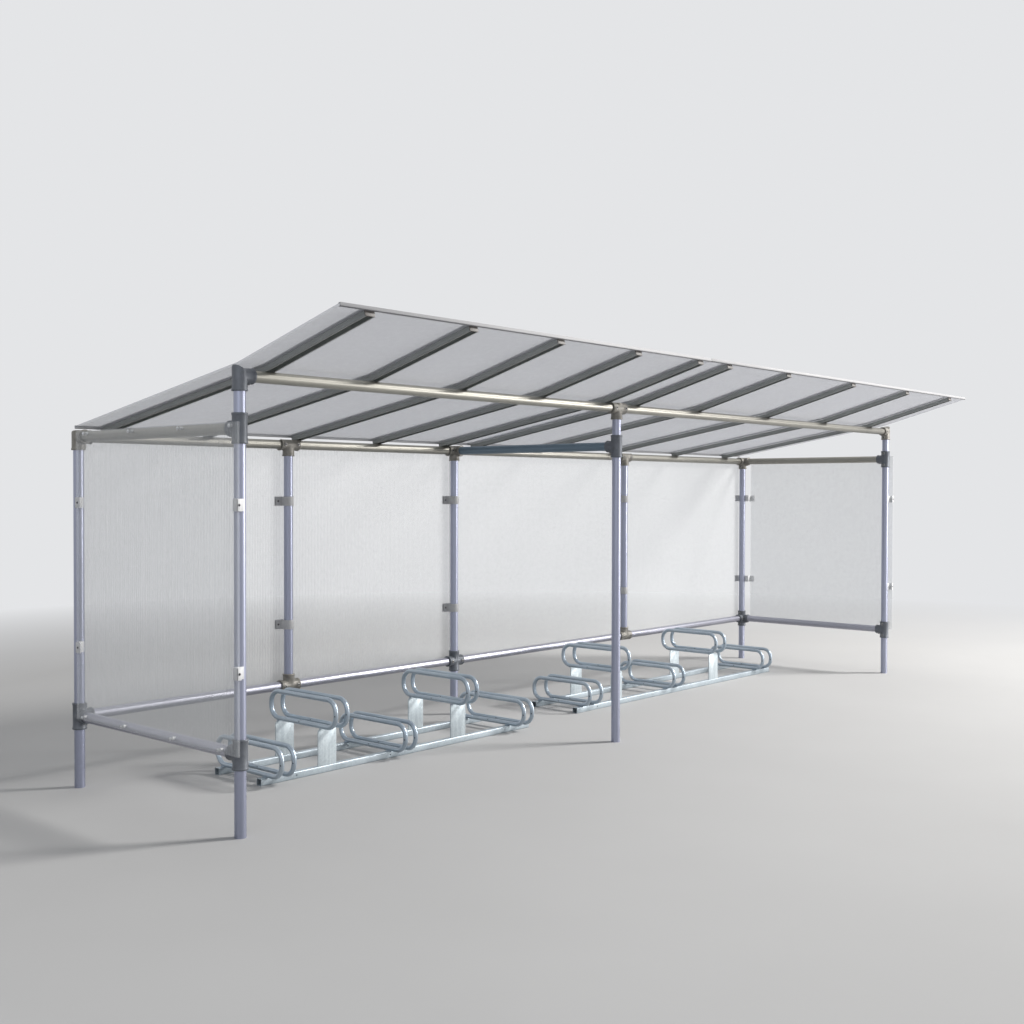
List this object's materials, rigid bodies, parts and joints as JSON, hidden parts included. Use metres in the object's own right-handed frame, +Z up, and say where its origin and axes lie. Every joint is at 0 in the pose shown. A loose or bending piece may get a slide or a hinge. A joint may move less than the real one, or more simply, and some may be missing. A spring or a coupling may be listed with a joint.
{
  "type": "bike shelter",
  "caption": "Open-fronted lean-to bike shelter of clamped round tube with clear ribbed roof and walls, over two-level hoop wheel racks.",
  "frame": {"origin": "floor level, under the middle of the shelter's outline", "axes": "+X along the open front, to the right seen from the front; +Y from the open front to the closed rear; +Z up"},
  "size_m": [6.0536, 1.9116, 2.082],
  "materials": {
    "frame_tube": "satin light grey coated tube",
    "clamp_fitting": "satin mid grey casting",
    "roof_bar": "satin anodised grey",
    "end_cap": "matt dark plastic",
    "clear_sheet": "clear ribbed twin-wall plastic sheet",
    "edge_trim": "satin",
    "clip": "satin off-white",
    "galvanised": "hot-dip galvanised"
  },
  "bodies": {
    "root": {"clip_back_plates": "clip", "cover_strips_left": "roof_bar", "cover_strips_right": "roof_bar", "cross_tube_left": "frame_tube", "cross_tube_middle": "frame_tube", "cross_tube_right": "frame_tube", "cross_tube_tees": "clamp_fitting", "edge_clips": "clip", "front_beam_fittings": "clamp_fitting", "front_beam_left": "frame_tube", "front_beam_right": "frame_tube", "high_hoops_left": "galvanised", "high_hoops_right": "galvanised", "low_hoops_left": "galvanised", "low_hoops_right": "galvanised", "low_rail_fittings": "clamp_fitting", "mullion_left": "frame_tube", "mullion_right": "frame_tube", "mullion_tees": "clamp_fitting", "post_front_left": "frame_tube", "post_front_middle": "frame_tube", "post_front_right": "frame_tube", "post_rear_left": "frame_tube", "post_rear_middle": "frame_tube", "post_rear_right": "frame_tube", "rack_plates_left": "galvanised", "rack_plates_right": "galvanised", "rack_rails_left": "galvanised", "rack_rails_right": "galvanised", "rafter_caps_left": "end_cap", "rafter_caps_right": "end_cap", "rafters_left": "roof_bar", "rafters_right": "roof_bar", "rear_low_rail_left": "frame_tube", "rear_low_rail_right": "frame_tube", "rear_panel_1": "clear_sheet", "rear_panel_2": "clear_sheet", "rear_panel_3": "clear_sheet", "rear_panel_4": "clear_sheet", "rear_top_fittings": "clamp_fitting", "rear_top_rail_left": "frame_tube", "rear_top_rail_right": "frame_tube", "roof_edge_trim_left": "edge_trim", "roof_edge_trim_right": "edge_trim", "roof_sheet_left": "clear_sheet", "roof_sheet_right": "clear_sheet", "saddle_clips": "clip", "side_low_rail_left": "frame_tube", "side_low_rail_right": "frame_tube", "side_panel_left": "clear_sheet", "side_panel_right": "clear_sheet"}
  },
  "joints": []
}
